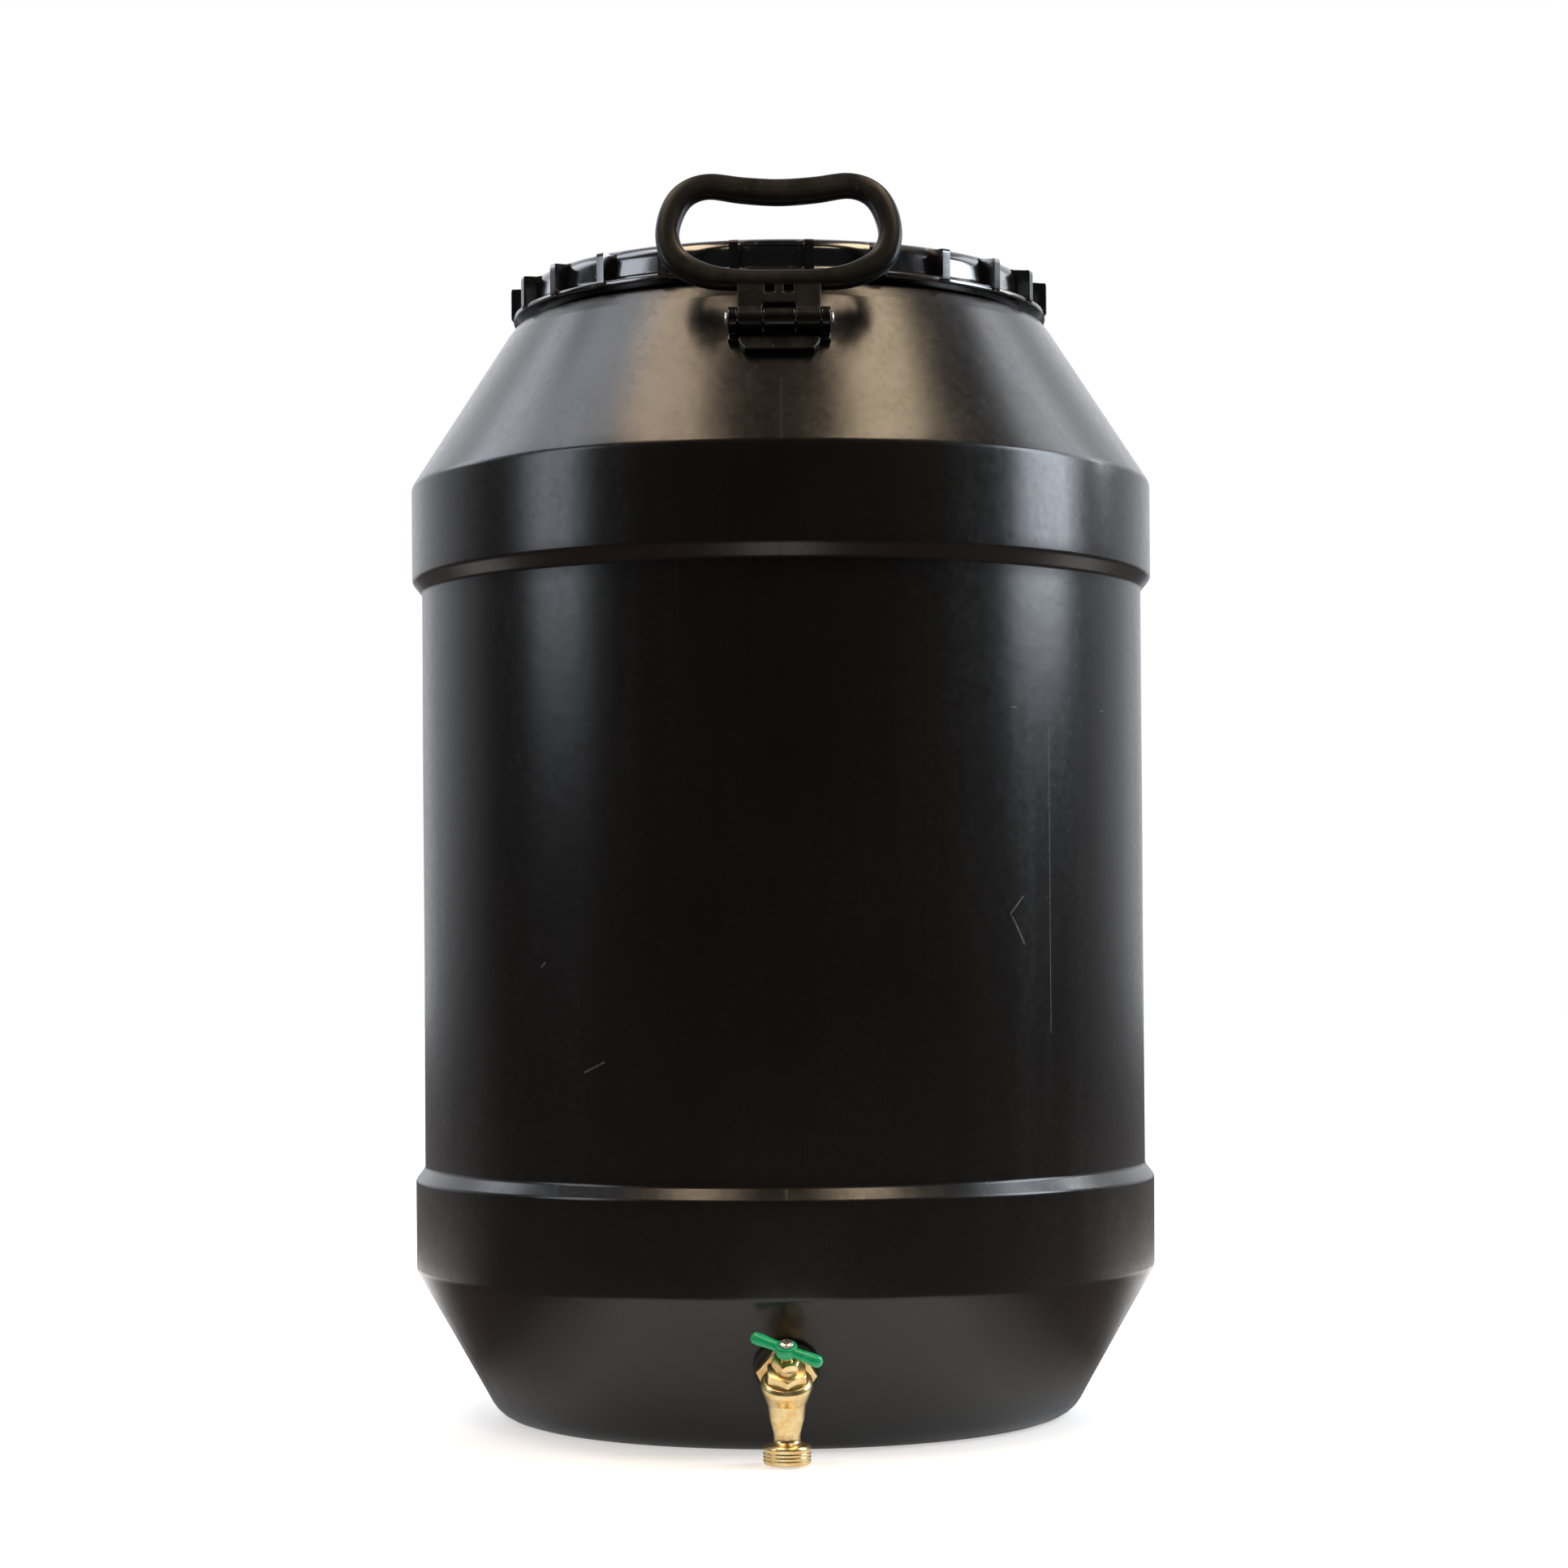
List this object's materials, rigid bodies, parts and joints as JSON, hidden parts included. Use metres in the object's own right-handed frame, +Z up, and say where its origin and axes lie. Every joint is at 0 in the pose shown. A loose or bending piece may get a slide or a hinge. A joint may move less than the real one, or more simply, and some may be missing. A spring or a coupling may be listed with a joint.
{
  "type": "rain barrel",
  "caption": "Upright black drum with stepped bands and coned ends, ribbed screw lid with screened inlet, hinged lifting loops, brass tap with green T-handle and a rear overflow.",
  "frame": {"origin": "middle of the base, on the floor that the foot ring stands on", "axes": "+Z up along the drum's axis, -Y towards the tap and the front lifting loop, +X to the right seen from the tap"},
  "size_m": [0.61, 0.6907, 0.9777],
  "materials": {
    "drum_black": "satin moulded polyethylene with a fine grain",
    "lid_black": "glossy moulded plastic",
    "cover_black": "satin moulded plastic",
    "loop_black": "semi-gloss moulded plastic",
    "bracket_black": "semi-gloss moulded plastic",
    "fitting_black": "satin moulded plastic",
    "rubber_black": "matt rubber",
    "steel": "plain stainless steel",
    "screen_metal": "woven wire mesh",
    "brass": "cast brass, lightly polished",
    "tap_green": "glossy green enamel"
  },
  "bodies": {
    "drum": {"drum_shell": "drum_black", "front_handle_bracket": "bracket_black", "front_handle_pin": "steel", "rear_handle_bracket": "bracket_black", "rear_handle_pin": "steel", "tap_body": "brass", "tap_bonnet": "brass", "tap_packing": "rubber_black", "tap_packing_nut": "brass", "tap_outer_gasket": "rubber_black", "tap_inner_gasket": "rubber_black", "tap_lock_nut": "brass", "overflow_fitting": "fitting_black", "overflow_outer_gasket": "rubber_black", "overflow_inner_gasket": "rubber_black", "overflow_lock_nut": "fitting_black"},
    "cover": {"lid_cover": "cover_black", "lid_gasket": "rubber_black", "insect_screen": "screen_metal", "inlet_grille": "cover_black", "screen_clamp_ring": "cover_black", "grille_screw_1": "steel", "grille_screw_2": "steel", "grille_screw_3": "steel", "grille_screw_4": "steel"},
    "ring": {"lid_ring": "lid_black"},
    "front_loop": {"front_handle": "loop_black"},
    "rear_loop": {"rear_handle": "loop_black"},
    "tap_valve": {"tap_seat_washer": "rubber_black", "tap_seat_screw": "steel"},
    "tap_spindle": {"tap_stem": "brass", "tap_handle": "tap_green", "tap_handle_screw": "steel"}
  },
  "joints": [
    {"name": "lid_lift", "type": "slide", "parent": "drum", "child": "cover", "axis": [0, 0, 1], "range_m": [0, 0.0126]},
    {"name": "lid_turn", "type": "hinge", "parent": "cover", "child": "ring", "pos_m": [0, 0, 0.916], "axis": [0, 0, 1], "range_deg": [0, 450]},
    {"name": "front_handle_swing", "type": "hinge", "parent": "drum", "child": "front_loop", "pos_m": [0, -0.256, 0.86], "axis": [1, 0, 0], "range_deg": [0, 158]},
    {"name": "rear_handle_swing", "type": "hinge", "parent": "drum", "child": "rear_loop", "pos_m": [0, 0.256, 0.86], "axis": [-1, 0, 0], "range_deg": [0, 158]},
    {"name": "tap_lift", "type": "slide", "parent": "drum", "child": "tap_valve", "axis": [0, -0.491, 0.8712], "range_m": [0, 0.0032]},
    {"name": "tap_turn", "type": "hinge", "parent": "tap_valve", "child": "tap_spindle", "pos_m": [0, -0.30672, 0.05232], "axis": [0, -0.491, 0.8712], "range_deg": [0, 540]}
  ],
  "couplings": [
    {"joint": "lid_lift", "follows": "lid_turn", "m_per_rad": 0.0015915},
    {"joint": "tap_lift", "follows": "tap_turn", "m_per_rad": 0.00033423}
  ]
}
